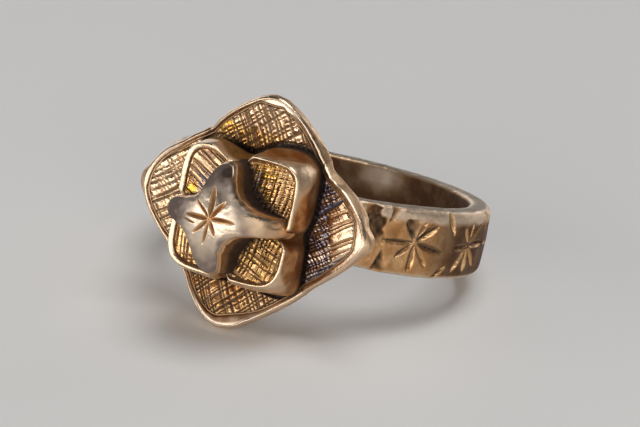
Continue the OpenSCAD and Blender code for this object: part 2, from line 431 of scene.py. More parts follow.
def pale_floor():
    """A plain matt painted studio floor."""
    material = bpy.data.materials.new("matt_studio_paint")
    material.use_nodes = True
    tree = material.node_tree
    tree.nodes.clear()
    inputs = {"Base Color": (*bpy.context.scene.ring_colours.floor, 1.0), "Roughness": 0.75}
    add(tree, "ShaderNodeOutputMaterial", {"Surface": add(tree, "ShaderNodeBsdfPrincipled", inputs)})
    return material


# The hoop

# Chiselled stars as (start, end, width, where widest) of each ray from the star's middle, along the
# hoop and up; the share where it is widest is counted from the start
STAR_ONE = [
    ((-0.06, 0.12), (-0.78, 1.45), 0.46, 0.80), ((0.10, 0.10), (0.74, 1.42), 0.30, 0.75),
    ((0.15, 0.10), (1.85, 1.22), 0.52, 0.60), ((0.22, -0.06), (2.65, -0.55), 0.56, 0.60),
    ((0.12, -0.15), (1.30, -1.60), 0.34, 0.72), ((0.00, -0.15), (-0.05, -1.98), 0.50, 0.78),
    ((-0.15, -0.12), (-1.30, -1.15), 0.40, 0.55), ((-0.05, 0.00), (-2.45, -0.12), 0.36, 0.50),
]
STAR_TWO = [
    ((-0.06, 0.12), (-0.75, 1.20), 0.42, 0.65), ((0.03, 0.15), (0.50, 1.45), 0.34, 0.60),
    ((0.10, 0.08), (2.00, 1.35), 0.56, 0.60), ((0.15, -0.02), (2.50, 0.10), 0.54, 0.55),
    ((-0.10, -0.06), (-1.65, -0.22), 0.52, 0.70), ((-0.10, -0.16), (-1.55, -1.95), 0.54, 0.65),
    ((0.02, -0.15), (0.10, -1.95), 0.48, 0.65), ((0.16, -0.18), (1.55, -1.60), 0.46, 0.60),
]
STAR_COUNT = 10
# Places of the two stars seen from the front, as lengths round the hoop from the bezel's axis
FIRST_STAR, SECOND_STAR = 11.25, 16.7
# How far the stars sit below the hoop's middle, and how low and high their rays may end
STAR_DROP, LOWEST_RAY, HIGHEST_RAY = 0.05, -2.0, 1.55
# Nicks beside each end of the bezel as (depth, top, point, width at the top)
NICKS = [
    (0.26, (9.22, 2.0), (9.10, 0.95), 0.9),
    (0.30, (FIRST_STAR - 0.85, 1.35), (FIRST_STAR - 0.04, -0.05), 1.5),
    (0.14, (FIRST_STAR + 1.2, 1.25), (FIRST_STAR + 0.1, 0.0), 0.9),
    (0.34, (8.30, -2.6), (8.95, -0.75), 1.5),
]


def hoop_cuts(along, up, around):
    """Depth shares, valley lines and shaded sides of all the cuts on the hoop's outside: stars at even
    steps, and a leaf at each edge between two stars."""
    rng = np.random.default_rng(21)
    depth, valley, shaded = (np.zeros_like(along) for _ in range(3))

    def cut(start, end, width, lean, share, fullest=0.55):
        """Adds one cut, worked out only near it."""
        reach = 0.6
        x0, x1 = min(start[0], end[0]) - reach, max(start[0], end[0]) + reach
        near = (along > x0) & (along < x1)
        deep, line, lee = chisel(along[near], up[near], start, end, width, lean, fullest)
        shaded[near] = np.where(share * deep > depth[near], lee, shaded[near])
        depth[near] = np.maximum(depth[near], share * deep)
        valley[near] = np.maximum(valley[near], line)

    step = (around - FIRST_STAR - SECOND_STAR) / (STAR_COUNT - 2)
    places = [FIRST_STAR] + [SECOND_STAR + step * k for k in range(STAR_COUNT - 1)]
    for i, place in enumerate(places):
        rays = STAR_ONE if i % 2 == 0 else STAR_TWO
        # The stars that the photo doesn't show are these two again, each ray a little changed
        loose = 0 if i < 2 else 1
        for start, end, width, fullest in rays:
            turn, grow = loose * rng.uniform(-0.12, 0.12), 1 + loose * rng.uniform(-0.12, 0.06)
            wide = 1.15 * width * (1 + loose * rng.uniform(-0.15, 0.15))
            x = end[0] * math.cos(turn) - end[1] * math.sin(turn)
            y = end[0] * math.sin(turn) + end[1] * math.cos(turn)
            root = (place + start[0], start[1] - STAR_DROP)
            tip = (place + x * grow, np.clip(y * grow, LOWEST_RAY, HIGHEST_RAY) - STAR_DROP)
            lean = 0.35 * np.sign(start[0] - x + 0.01)
            cut(root, tip, wide, lean, 0.4 + 1.3 * width, fullest)
        if i < STAR_COUNT - 1:
            middle = (place + places[i + 1]) / 2 + 0.35
            cut((middle - 0.33, 2.1), (middle + 0.42, 0.50), 0.62, 0.4, 1.1, fullest=0.4)
            cut((middle - 0.95, -2.45), (middle + 0.15, -1.5), 0.56, -0.3, 1.1)
    return depth, valley, shaded


def nick(along, up, top, point, wide):
    """Share of depth of a triangular nick: steep along the line from top to point, rising from there
    in one flat facet that is wide at the top and nothing at the point, and ending above the top."""
    t = np.clip((up - point[1]) / (top[1] - point[1]), 0, 1)
    u = (along - point[0] - t * (top[0] - point[0])) / (wide * np.maximum(t, 0.02))
    ending = ease(np.sign(top[1] - point[1]) * (top[1] - up) + 0.14, 0, 0.14)
    return (1 - u) * ease(u, 0, 0.12) * (u > 0) * (u < 1) * ease(t, 0, 0.25) * ending


def hoop_hollows(along, up, around):
    """Depths in millimetres of the dark hollows and the nicks beside each end of the bezel."""
    total = np.zeros_like(along)
    for x in (along, around - along):
        # A step down along the hoop's top between the bezel and the first star, left by a file
        step = 1.35 + 0.3 * waves(x, 0 * up, 2.0, 19) - up
        total += 0.05 * ease(step, 0, 0.12) * ease(FIRST_STAR + 1.5 - x, 0, 0.5)
        # The hollow ends at a ragged side, a ragged foot and a top that slants down away from the bezel
        side = 9.0 - 0.2 * up + 0.22 * waves(x, up, 0.9, 14) - x
        low = up + 0.2 * waves(x, up, 0.8, 15)
        high = 2.25 - 0.16 * (x - 7.0) + 0.06 * waves(x, 0 * up, 0.6, 13) - up
        hollow = ease(side, 0, 0.3) * ease(low, -0.5, 0.5) * ease(high, 0, 0.14) * ease(x, 6.6, 8.4)
        total += (0.26 + 0.08 * waves(x, up, 0.5, 16)) * hollow
        for deep, top, point, wide in NICKS:
            total += deep * nick(x, up, top, point, wide)
        total += 0.06 * bell(x - 9.7, 0.55) * bell(up - 0.35, 0.5)
    return total


def build_hoop():
    """The hoop: a flat band's section with rounded edges, carried round the finger hole."""
    sizes = bpy.context.scene.ring_sizes
    hole, thick, half = sizes.hole / MM, sizes.thick / MM, sizes.wide / MM / 2
    outer = hole + thick
    # Behind the bezel the grid is coarse
    hidden = 33 * DEG
    angle = np.concatenate([
        np.linspace(-hidden, hidden, 40, endpoint=False),
        np.linspace(hidden, TURN - hidden, 930, endpoint=False),
    ])
    # One side of the section, from the middle of the inside to the middle of the outside:
    # columns are radius, height, and the number of grid steps to the next row
    side = np.array([
        [hole, 0.0, 4], [hole + 0.01, half - 0.42, 2], [hole + 0.05, half - 0.26, 2],
        [hole + 0.16, half - 0.12, 2], [hole + 0.40, half - 0.03, 2], [hole + 0.75, half, 3],
        [outer - 0.48, half - 0.04, 3], [outer - 0.22, half - 0.17, 4], [outer - 0.07, half - 0.40, 5],
        [outer - 0.01, half - 0.75, 22], [outer + 0.05, 0.0, 0],
    ])
    up_part = steps_between(side[:, :2], side[:-1, 2].astype(int))
    down_part = up_part[-2:0:-1] * [1, -1]
    section = np.concatenate([up_part, down_part])
    radius, height = section[:, :1] + 0.0 * angle, section[:, 1:]
    # Hand work: the edges wander, and the lower edge swells at the sides
    turned = np.minimum(angle % TURN, TURN - angle % TURN) / DEG
    swell = 0.30 * ease(turned, 20, 55) * ease(175 - turned, 0, 70) * (height < 0)
    wander = 0.024 * round_waves(angle, (2, 3, 5, 8), 4)
    height = (height * (1 + 0.014 * round_waves(angle, (3, 4, 7), 6) + swell / half)
              + wander * np.abs(height) / half)
    around = outer * TURN
    along = outer * (angle % TURN) + 0.0 * height
    outside = ease(radius, outer - 0.34, outer - 0.08)
    cuts, valley, shaded = hoop_cuts(along, height, around)
    hollows = hoop_hollows(along, height, around)
    soft = waves(along, height * 1.3, 3.2, 8) * 0.04 + waves(along, height, 1.3, 9) * 0.022
    depth = outside * (sizes.star_cut / MM * cuts + hollows + soft)
    # The sides are dented along the finger and the bore a little out from the hole
    off_bore = ease(radius, hole, hole + 0.1)
    dents = waves(along, radius, 2.5, 5) * 0.015 + waves(along, radius, 0.8, 7) * 0.004
    a = height - np.sign(height) * (1 - outside) * off_bore * dents
    r = radius - depth * ease(radius, hole + 0.2, outer - 0.1)
    r = r + (1 - off_bore) * waves(along, height, 3, 3) * 0.015
    points = laid(r * np.sin(angle), a, r * np.cos(angle))
    # Hands rub the edges and the sides; a patch inside, opposite the bezel, is a painted highlight, clean
    # and bright
    level = np.abs(height) + 0.16 * waves(along, height, 1.7, 10)
    shoulder = ease(level, half - 1.15, half - 0.65) * outside * (height > 0)
    proud = np.maximum(shoulder, 1.35 * (1 - outside) * ease(radius, hole + 0.03, hole + 0.3))
    inside = 1 - ease(radius, hole + 0.02, hole + 0.14)
    painted_highlight = inside * bell(np.degrees(angle) - 182.5, 10, 3) * bell(height - 1.4, 0.95, 3)
    painted_highlight = painted_highlight * (0.85 + 0.15 * waves(along, height * 3, 1.5, 17))
    # Painted shade darkens the hoop away from the bezel, where it turns from the lights; the hoop is also a
    # little darker beside the bezel
    from_bezel = np.minimum(along, around - along)
    far_shade = ease(from_bezel, 11.5, 15.5)
    beside = ease(10.6 - from_bezel + 0.5 * waves(along, height, 1.5, 12), 0, 0.9)
    in_cut, in_hollow = ease(cuts, 0.03, 0.2), ease(hollows, 0.03, 0.15)
    # Amber tarnish, with painted shade away from the bezel
    tarnish_and_shade = (0.42 + 0.5 * far_shade + 0.1 * beside - 0.55 * in_cut + 0.5 * ease(valley, 0.6, 0.95)
               + 0.3 * ease(hollows, 0.03, 0.2))
    # Dirt in the valleys and hollows, and painted shade on the cuts' shaded sides and away from the bezel
    dirt_and_shade_outside = (0.95 * ease(valley, 0.7, 0.9) * ease(cuts, 0.1, 0.35) + 0.75 * ease(shaded, 0.05, 0.3) * in_cut
              + (0.75 + 0.25 * waves(along, height, 0.5, 18)) * ease(hollows, 0.06, 0.24)
              + 0.05 * beside + 0.72 * far_shade * (1 - proud) * (1 - in_cut))
    # The bore, but for its painted highlight, is darkened with amber and umber as painted shade
    marks = {
        "rub_and_highlight": 0.85 * proud * (1 - in_cut) * (1 - in_hollow) + 1.3 * painted_highlight,
        "stain_and_shade": outside * (1 - 0.85 * proud * (1 - in_hollow)) * tarnish_and_shade + 0.95 * inside * (1 - painted_highlight),
        "dirt_and_shade": outside * dirt_and_shade_outside + 0.75 * inside * (1 - painted_highlight),
        "dull": 0.35 * (1 - in_cut) * outside + 0.35 * proud + 0.2 * inside + 0.4 * painted_highlight,
    }
    material = gilded_silver("fire_gilt_silver_hoop", hammer=0.6, scratch=0.4, dull=0.31)
    skin("hoop", points, marks, material, wrap_rows=True)


# The flower

# Distances along b from the finger hole's middle: the flower's flat back, and the level planes on which
# the photo's marks on the fields, in the cups and on the boss were read
BACK, FIELD_PLANE, CUP_PLANE, BOSS_PLANE = 9.75, 11.2, 14.0, 17.6
# The marks were read along slanted lines of sight, which move this far per millimetre of b
SLANT_S, SLANT_A = 0.4456, 0.155
# How far the middles of the inner rose and the boss lie below the outer rose's
INNER_DROP, BOSS_DROP = 0.3, 0.42
# Radius at which the fields end, under the inner rose, and their height above the back there
FIELD_END, FIELD_FOOT = 3.5, 0.62
# Outlines of the outer rose by direction in degrees: the crest of its rim, its wall's widest line
# about a millimetre below the crest, and the border of its hatched fields
CREST = [
    (-42.0, 6.31), (-36.0, 6.46), (-26.6, 6.79), (-20.4, 7.21), (-14.2, 7.68), (-8.2, 8.12), (-4.4, 8.42),
    (-1.0, 8.52), (1.7, 8.42), (5.2, 8.20), (8.9, 7.95), (13.5, 7.53), (18.3, 7.12), (23.3, 6.73),
    (28.9, 6.22), (34.7, 5.84), (42.0, 5.72), (50.2, 5.89), (53.8, 6.06), (60.8, 6.36), (68.2, 6.76),
    (74.5, 7.08), (79.2, 7.30), (83.0, 7.46), (87.0, 7.54), (91.0, 7.48), (96.0, 7.31), (102.8, 6.98),
    (111.8, 6.64), (122.1, 6.38), (132.1, 6.14), (140.0, 6.25), (151.1, 6.61), (157.0, 6.96),
    (162.1, 7.29), (166.4, 7.49), (170.4, 7.64), (175.3, 7.78), (181.1, 7.76), (186.5, 7.58),
    (192.3, 7.40), (197.9, 7.15), (204.2, 6.90), (209.9, 6.72), (222.0, 6.48), (234.9, 6.71),
    (243.9, 7.08), (251.1, 7.44), (257.1, 7.72), (260.6, 7.86), (266.0, 7.92), (271.7, 7.80),
    (275.6, 7.66), (279.8, 7.34), (287.2, 6.96), (294.5, 6.68), (301.4, 6.49), (306.2, 6.42),
    (312.0, 6.34),
]
WALL = [
    (-42.0, 6.50), (-35.6, 6.58), (-28.9, 6.90), (-20.3, 7.37), (-12.9, 7.94), (-7.6, 8.42), (-2.0, 8.66),
    (3.0, 8.46), (6.5, 8.26), (9.7, 8.20), (12.3, 8.03), (19.2, 7.46), (26.1, 6.80), (35.1, 6.25),
    (40.0, 6.05), (50.0, 6.28), (59.2, 6.56), (68.3, 6.90), (77.1, 7.33), (84.1, 7.65), (90.7, 7.73),
    (96.0, 7.56), (102.8, 7.26), (111.8, 6.92), (122.1, 6.62), (132.1, 6.38), (140.0, 6.42),
    (151.1, 6.78), (157.0, 7.10), (162.1, 7.42), (166.4, 7.62), (170.4, 7.78), (175.3, 7.92),
    (181.1, 7.90), (186.5, 7.74), (192.3, 7.56), (197.9, 7.30), (204.2, 7.04), (209.9, 6.86),
    (222.0, 6.62), (234.9, 6.82), (243.9, 7.20), (251.1, 7.60), (257.1, 7.92), (260.6, 8.08),
    (266.0, 8.18), (271.7, 8.04), (275.6, 7.88), (279.8, 7.56), (287.2, 7.18), (294.5, 6.90),
    (301.4, 6.70), (306.2, 6.62), (312.0, 6.54),
]
BORDER = [
    (-42.0, 6.00), (-40.1, 6.01), (-33.1, 6.24), (-24.0, 6.62), (-16.9, 7.04), (-10.1, 7.52),
    (-5.9, 7.84), (-0.8, 7.82), (4.3, 7.73), (8.4, 7.60), (11.4, 7.33), (16.7, 6.90), (22.5, 6.44),
    (27.5, 5.98), (33.3, 5.62), (42.0, 5.50), (51.8, 5.66), (54.9, 5.81), (62.4, 6.16), (69.8, 6.53),
    (75.4, 6.84), (79.5, 6.98), (81.9, 7.18), (86.5, 7.08), (92.4, 7.08), (97.0, 7.12), (98.6, 7.02),
    (104.9, 6.70), (113.2, 6.38), (123.6, 6.16), (134.5, 5.95), (140.0, 6.02), (155.0, 6.56),
    (161.1, 6.94), (166.8, 7.24), (171.7, 7.42), (177.0, 7.50), (183.1, 7.50), (187.8, 7.34),
    (193.6, 7.14), (198.4, 6.94), (203.6, 6.74), (208.8, 6.54), (222.0, 6.22), (235.9, 6.48),
    (243.6, 6.80), (249.5, 7.05), (253.7, 7.20), (259.3, 7.38), (264.0, 7.38), (272.1, 7.02),
    (279.9, 6.82), (287.1, 6.66), (292.5, 6.48), (298.6, 6.29), (303.3, 6.20), (312.0, 6.05),
]
# Directions of the four petals' tips
TIPS = np.array([-3, 86, 181, 267])
# Where the right petal's dense hatching ends: sideways place at each place along the finger
DENSE_END = [
    (-3.8, 5.9), (-2.8, 6.55), (-2.1, 6.35), (-1.5, 6.05), (-0.6, 5.75), (0.2, 5.65), (1.0, 5.35),
    (2.2, 5.85), (3.0, 5.6),
]


def read_at(s, a, b, plane):
    """Where a point of the flower shows on a level plane, along the slanted reading direction."""
    return s - SLANT_S * (b - plane), a - SLANT_A * (b - plane)


def tipness(angle):
    """0 at a notch and 1 at the tip of the petal that a direction falls in; the tips are rounded."""
    degrees = np.degrees(angle) % 360
    k = np.floor(((degrees + 45) % 360) / 90).astype(int)
    off = turn_from(degrees, TIPS[k])
    span = 45 - np.sign(off) * (TIPS[k] - k * 90)
    share = np.abs(off) * 45 / span
    # A hyperbola, round over this many degrees at the tip
    blunt = 7
    return 1 - (np.sqrt(share ** 2 + blunt ** 2) - blunt) / (math.sqrt(45 ** 2 + blunt ** 2) - blunt)


def rim_height(angle):
    """Height of the outer rose's rim: it rises from each notch to each tip and wavers a little."""
    return BACK + 1.2 + 1.25 * tipness(angle) + 0.02 * round_waves(angle, (9, 14, 19), 7)


def field_height(angle, r):
    """Height of the petals' fields: from just under the rim they run nearly level and then fall to
    the inner rose, as a power of the way in. The right and upper petals lie flattest."""
    flat = 0.55 + 0.45 * np.cos(angle - 40 * DEG)
    tip = tipness(angle)
    edge = rim_height(angle) - 0.15
    foot = BACK + FIELD_FOOT + 1.05 * flat * tip
    border = round_table(angle, BORDER, 0.6)
    inwards = np.clip((border - r) / (border - FIELD_END), 0, 1)
    return edge + (foot - edge) * inwards ** (1.1 + 0.6 * flat) - 0.05 * np.sin(math.pi * inwards) * tip


# Foot of the inner rose's wall by direction round its own middle, and the height above the back at
# which it was read
FOOT_READ_AT = 0.75
FOOT = [
    (-48.0, 6.00), (-44.4, 5.85), (-40.3, 5.50), (-34.2, 4.99), (-26.8, 4.54), (-17.1, 4.14),
    (-10.0, 3.86), (-3.1, 3.74), (4.5, 3.87), (10.0, 4.02), (16.8, 4.16), (26.2, 4.51), (34.1, 4.92),
    (39.5, 5.24), (43.6, 5.51), (49.2, 5.68), (55.1, 5.69), (60.8, 5.52), (68.8, 5.13), (77.5, 4.76),
    (85.5, 4.38), (91.6, 4.06), (100.0, 3.92), (108.0, 4.02), (116.0, 4.42), (122.0, 4.90), (128.0, 5.50),
    (134.0, 5.84), (140.0, 5.86), (147.0, 5.60), (153.0, 5.20), (160.0, 4.80), (170.0, 4.32),
    (180.0, 3.95), (190.0, 4.30), (200.0, 4.72), (210.0, 5.22), (218.0, 5.78), (225.0, 5.98),
    (232.0, 5.82), (240.0, 5.30), (250.0, 4.82), (261.0, 4.42), (270.0, 4.05), (279.0, 4.42),
    (290.0, 4.85), (300.0, 5.38), (307.0, 5.82),
]
# The clefts between the cups as direction, half width in degrees and depth
CLEFTS = [(-7.5, 6.5, 0.62), (100.0, 15.0, 0.80), (180.0, 7.5, 0.45), (270.0, 7.5, 0.45)]


def cup_crest(angle):
    """Crest of the cups' rims round the inner rose's middle: a superellipse, a square with rounded
    corners that are rounder below than above, and how deep it is cleft at each angle."""
    power = 6.2 + 0.9 * np.sin(angle)
    c, s = np.abs(np.cos(angle)), np.abs(np.sin(angle))
    crest = 4.13 / (c ** power + s ** power) ** (1 / power) + 0.02 * round_waves(angle, (3, 5, 6), 2)
    degrees = np.degrees(angle)
    cleft = sum(deep * bell(turn_from(degrees, at), half, 4) for at, half, deep in CLEFTS)
    return crest, cleft


def foot_of_cups(angle):
    """Radius and height of the line where the inner rose's wall meets the fields, by direction round
    the inner rose's middle. Where the line lies higher than the level it was read at, it moves along
    the slant of the reading, on the sides where it was seen."""
    r = round_table(angle, FOOT, 1.5)
    s, a = r * np.cos(angle), r * np.sin(angle) - INNER_DROP
    level = field_height(np.arctan2(a, s), np.hypot(s, a))
    slant = np.maximum(SLANT_S * np.cos(angle) + SLANT_A * np.sin(angle), 0)
    return r + slant * np.maximum(level - BACK - FOOT_READ_AT, 0), level


def outside_cups(s, a):
    """Distance of a point from the foot of the inner rose's wall."""
    return np.hypot(s, a + INNER_DROP) - foot_of_cups(np.arctan2(a + INNER_DROP, s))[0]


def field_marks(s, a, b):
    """Grooves and stains on the outer petals' fields: depth of the cuts, lean of the lands, shares of
    slate, gold and stain, and how much dirt the cuts hold. Each petal has two families of strokes."""
    p, q = read_at(s, a, b, FIELD_PLANE)
    strokes = partial(hatching, p, q)
    angle = np.degrees(np.arctan2(a, s))
    right, top, left, bottom = (bell(turn_from(angle, at), 46, 12) for at in (0, 90, 180, 270))
    # Right petal: dense and tarnished towards the middle, open broad strokes towards the tip
    dense = ease(np.interp(q, *zip(*DENSE_END)) - p, -0.2, 0.3)
    broad = strokes(32, 0.37, 0.15, 11, wander=0.07, skips=0.0, tilt=0.2)
    ticks, lean = strokes(-52, 0.30, 0.14, 12, skips=0.1, tilt=0.1)
    ticks = ticks * ease(q, 0.2, 1.2), lean
    cut, lean = side_by_side([
        (right * (1 - dense), crossed(broad, ticks, 0.7)),
        (right * dense, crossed(
            strokes(36, 0.28, 0.18, 13, skips=0.0, wander=0.1, tilt=0.95),
            strokes(-50, 0.28, 0.18, 14, skips=0.0, wander=0.1, tilt=0.95))),
        (top, crossed(
            strokes(-58, 0.26, 0.23, 21, skips=0.1, wander=0.12, tilt=0.6),
            strokes(40, 0.28, 0.22, 22, skips=0.15, wander=0.12, tilt=0.6), 0.9)),
        (left, crossed(
            strokes(37, 0.31, 0.18, 31, skips=0.1, tilt=0.25),
            strokes(-50, 0.26, 0.17, 32, skips=0.3, tilt=0.4), 0.75)),
        (bottom, crossed(
            strokes(44, 0.30, 0.17, 41, skips=0.0, wander=0.08, tilt=0.5),
            strokes(-62, 0.31, 0.17, 42, skips=0.0, wander=0.08, tilt=0.5))),
    ])
    # Blue-black fills one thick stroke and the corner above it, and elsewhere only the cuts
    bar = right * chisel(p, q, (4.5, 0.8), (6.35, 2.35), 0.34)[0]
    cut = np.maximum(cut, bar)
    low_strip = ease(-q - 1.2, 0, 0.4) * ease(p - 0.9 * q - 7.75, 0.0, 0.35)
    in_cuts = (0.95 * dense + 0.8 * low_strip) * (0.25 + 0.75 * ease(cut, 0.2, 0.42))
    corner = 0.85 * ease(q - 0.8 * (p - 5.0) - 2.2, 0, 0.3)
    slate = right * np.clip(np.maximum(in_cuts, np.maximum(corner, ease(bar, 0.1, 0.4))), 0, 1)
    # A smooth patch of fresh gold lies in the top petal's left corner, and more along its foot
    smooth = top * oval(p, q, (-3.35, 5.0), (0.75, 0.34))
    cut = cut * (1 - 0.75 * smooth)
    gold = top * (1.6 * smooth + 0.7 * ease(5.4 - q, 0, 0.5) * ease(1.4 - p, 0, 0.8))
    gold = gold + 0.25 * left * ease(q, 1.6, 2.6) + 0.35 * bottom + 0.2 * right * dense
    inward = ease(5.7 - np.hypot(s, a), -0.5, 0.6)
    stain_and_shade = 0.08 * top + 0.6 * bottom + 0.04 * left + 0.02 * right
    stain_and_shade = stain_and_shade + 0.25 * inward * (1 - left - 0.8 * right)
    stain_and_shade = stain_and_shade + (0.75 * right * (1 - dense) + 0.3 * top) * ease(cut, 0.1, 0.5)
    # The right petal's cuts hold little dirt: the broad strokes are only amber
    grimy = top * 0.8 + left * 0.85 + bottom * 0.95 + right * (0.22 - 0.2 * dense)
    return cut, lean, slate, gold, stain_and_shade, grimy + 0.5 * ease(bar, 0.1, 0.4)


def build_outer_rose():
    """The outer rose: sections across the petals, from the middle of the back out, up the side wall,
    over the rim and down across the hatched field to under the inner rose, carried round."""
    sizes = bpy.context.scene.ring_sizes
    angle = even_angles(lambda t: round_table(t, WALL, 1.2), 900)
    degrees = np.degrees(angle)
    tip = tipness(angle)
    crest = round_table(angle, CREST, 0.9) + 0.012 * round_waves(angle, (11, 17, 23), 5)
    wall = np.maximum(round_table(angle, WALL, 1.2), crest + 0.12)
    border = np.minimum(round_table(angle, BORDER, 0.6), crest - 0.16)
    high = rim_height(angle)
    # Nubs at the right and the left tip
    nub = 0.34 * bell(turn_from(degrees, -0.6), 5.0, 4) + 0.5 * bell(degrees - 179.5, 6.8, 3)
    # Inside its crest the rim has a narrow facet, which is level at the top tip and hollow at the lowest
    lip = crest * 0.4 + border * 0.6
    level_tip, low_tip = bell(degrees - 84, 10, 4), bell(degrees - 262, 16, 4)
    r, b, row, at = sections(angle, [
        # name, radius, height, grid steps to the next row
        ("back middle", 0.6, BACK, 2),
        ("back", wall * 0.5, BACK, 4),
        ("back edge", wall * 0.84, BACK + 0.08 + 0.30 * tip, 4),
        ("under wall", wall - 0.30 + 0.1 * nub, BACK + 0.22 + 0.72 * tip, 3),
        ("low wall", wall - 0.08 + 0.7 * nub, BACK + 0.42 + 0.80 * tip, 4),
        ("wall", wall + nub, BACK + 0.66 + 0.88 * tip, 4),
        ("high wall", wall * 0.35 + (crest + 0.24) * 0.65 + 0.62 * nub, high - 0.40, 3),
        ("rim side", crest + 0.18 + 0.2 * nub, high - 0.19, 3),
        ("rim edge", crest + 0.09, high - 0.05, 3),
        ("crest", crest, high, 3),
        ("inner crest", crest - 0.07, high - 0.03, 2),
        ("lip", lip - 0.08 * low_tip, high - 0.08 + 0.06 * level_tip + 0.05 * low_tip, 2),
        ("inner lip", border + 0.05, high - 0.14 + 0.11 * level_tip, 2),
        ("border", border, high - 0.19, 2),
        ("field", border - 0.05, high - 0.15, 66),
        ("field end", FIELD_END, BACK + FIELD_FOOT, 2),
        ("hidden middle", 0.5, BACK + FIELD_FOOT - 0.1, 0),
    ])
    on_field = (row >= at["field"]) & (row <= at["field end"])
    b = np.where(on_field, field_height(angle, r), b)
    s, a = r * np.cos(angle), r * np.sin(angle)
    cut, lean, slate, gold, stain_and_shade, grimy = field_marks(s, a, b)
    clear = ease(border - r, 0.03, 0.16) * on_field
    groove_line = bell(border - 0.06 - r, 0.07) * (row >= at["inner lip"])
    trench = ease(0.34 - outside_cups(s, a), 0.0, 0.2) * on_field
    depth = clear * sizes.field_cut / MM * (cut + lean) + 0.05 * groove_line + 0.25 * trench
    wear = waves(s, a, 0.9, 61) * 0.010 + waves(s, a, 2.4, 62) * 0.02
    points = carved(laid(s, a, b), depth + wear * (row >= at["low wall"]))
    back = row <= at["back edge"]
    side = (row > at["back edge"]) & (row <= at["rim side"])
    rim = (row > at["rim side"]) & (row <= at["lip"])
    facet = (row > at["inner crest"]) & (row < at["border"])
    low_facet = bell(degrees - 268, 24, 4)
    # Dirt and painted shade lie in the corner round the inner rose, with a little blue-black, least above
    # the upper right cup and on the left
    ring_wide = 0.46 - 0.12 * bell(degrees - 80, 42, 4) - 0.16 * bell(degrees - 62, 24, 4)
    ring_wide = ring_wide + 0.05 * waves(s, a, 0.7, 63)
    corner_dirt_and_shade = ease(ring_wide - outside_cups(s, a), 0.0, 0.16) * on_field
    corner_dirt_and_shade = corner_dirt_and_shade * (1 - 0.6 * bell(degrees - 133, 8, 4))
    lands = clear * (1 - ease(cut, 0.1, 0.4))
    marks = {
        "rub_and_highlight": rim * (0.7 + 0.2 * low_facet) + facet * (0.6 - 0.6 * low_facet)
        + side * (0.35 + 0.4 * low_facet) + 0.3 * back + (0.6 + 0.3 * ease(slate, 0.1, 0.2)) * lands,
        "stain_and_shade": on_field * stain_and_shade + 0.25 * side * (1 - 0.7 * low_facet) + 0.6 * back
        + (0.1 + 0.8 * low_facet) * facet,
        "dirt_and_shade": on_field * np.maximum(clear * ease(cut, 0.18, 0.6) * grimy, corner_dirt_and_shade) + groove_line * 0.9
        + 0.15 * back + 0.95 * (row > at["field end"]) + 0.45 * low_facet * facet,
        "slate": on_field * clear * slate + 0.3 * corner_dirt_and_shade,
        "gold": on_field * clear * gold * (1 - 0.8 * ease(cut, 0.2, 0.6)),
        "dull": 0.8 * side + 0.25 * rim,
    }
    material = gilded_silver("fire_gilt_silver_petals", hammer=0.25, scratch=0.25, dull=0.22)
    skin("outer_rose", points, marks, material)


def cup_marks(s, a, b):
    """Grooves and stains on the floors of the inner rose's four cups: depth of the cuts, lean of the
    lands, shares of gold, stain and slate."""
    p, q = read_at(s, a, b, CUP_PLANE)
    strokes = partial(hatching, p, q)
    upper = ease(a, -0.45, -0.15)
    upper_left, upper_right, low_left, low_right = (
        side * level for level in (upper, 1 - upper) for side in (ease(-s, -0.1, 0.1), ease(s, -0.1, 0.1)))
    # Short ticks along the left edge, rows across the right cup and rows along the lower edge
    ticks, ticks_lean = strokes(84, 0.24, 0.12, 52)
    across, across_lean = strokes(6, 0.24, 0.16, 55, wander=0.3, tilt=0.9)
    low, low_lean = strokes(3, 0.3, 0.14, 59)
    cut, lean = side_by_side([
        (upper_left, crossed(
            strokes(-25, 0.31, 0.2, 51, skips=0.1, wander=0.22, tilt=0.5),
            (ticks * ease(-p, 3.45, 3.65), ticks_lean), 0.7)),
        (upper_right, crossed(
            strokes(81, 0.30, 0.19, 54, wander=0.25, tilt=1.0),
            (across * (0.35 + 0.65 * ease(2.6 - p, 0, 0.5)), across_lean), 0.9)),
        (low_right, crossed(
            strokes(-19, 0.36, 0.2, 56, wander=0.3, tilt=1.1),
            strokes(76, 0.29, 0.17, 57, wander=0.3, tilt=0.9), 0.8)),
        (low_left, crossed(
            strokes(-81, 0.29, 0.18, 58, skips=0.15, tilt=0.8),
            (low * ease(-q, 3.3, 3.8), low_lean), 0.8)),
    ])
    gold = (upper_right * (0.45 + 0.5 * ease(3.0 - p, 0, 1.2)) + 0.6 * low_right + 0.5 * low_left
            + 1.5 * upper_left * ease(1.8 - q, 0, 0.5) * ease(-p, 2.9, 3.3))
    stain_and_shade = 0.38 * upper_left + 0.05 * upper_right + 0.25 * low_left + 0.3 * low_right
    # Blue-black in the cuts beside the boss
    slate = (upper_left * oval(p, q, (-2.8, 1.35), (0.95, 0.55))
             + 0.7 * upper_right * oval(p, q, (1.15, 2.1), (0.45, 0.9)))
    return cut, lean, gold, stain_and_shade, slate * ease(cut, 0.12, 0.35)


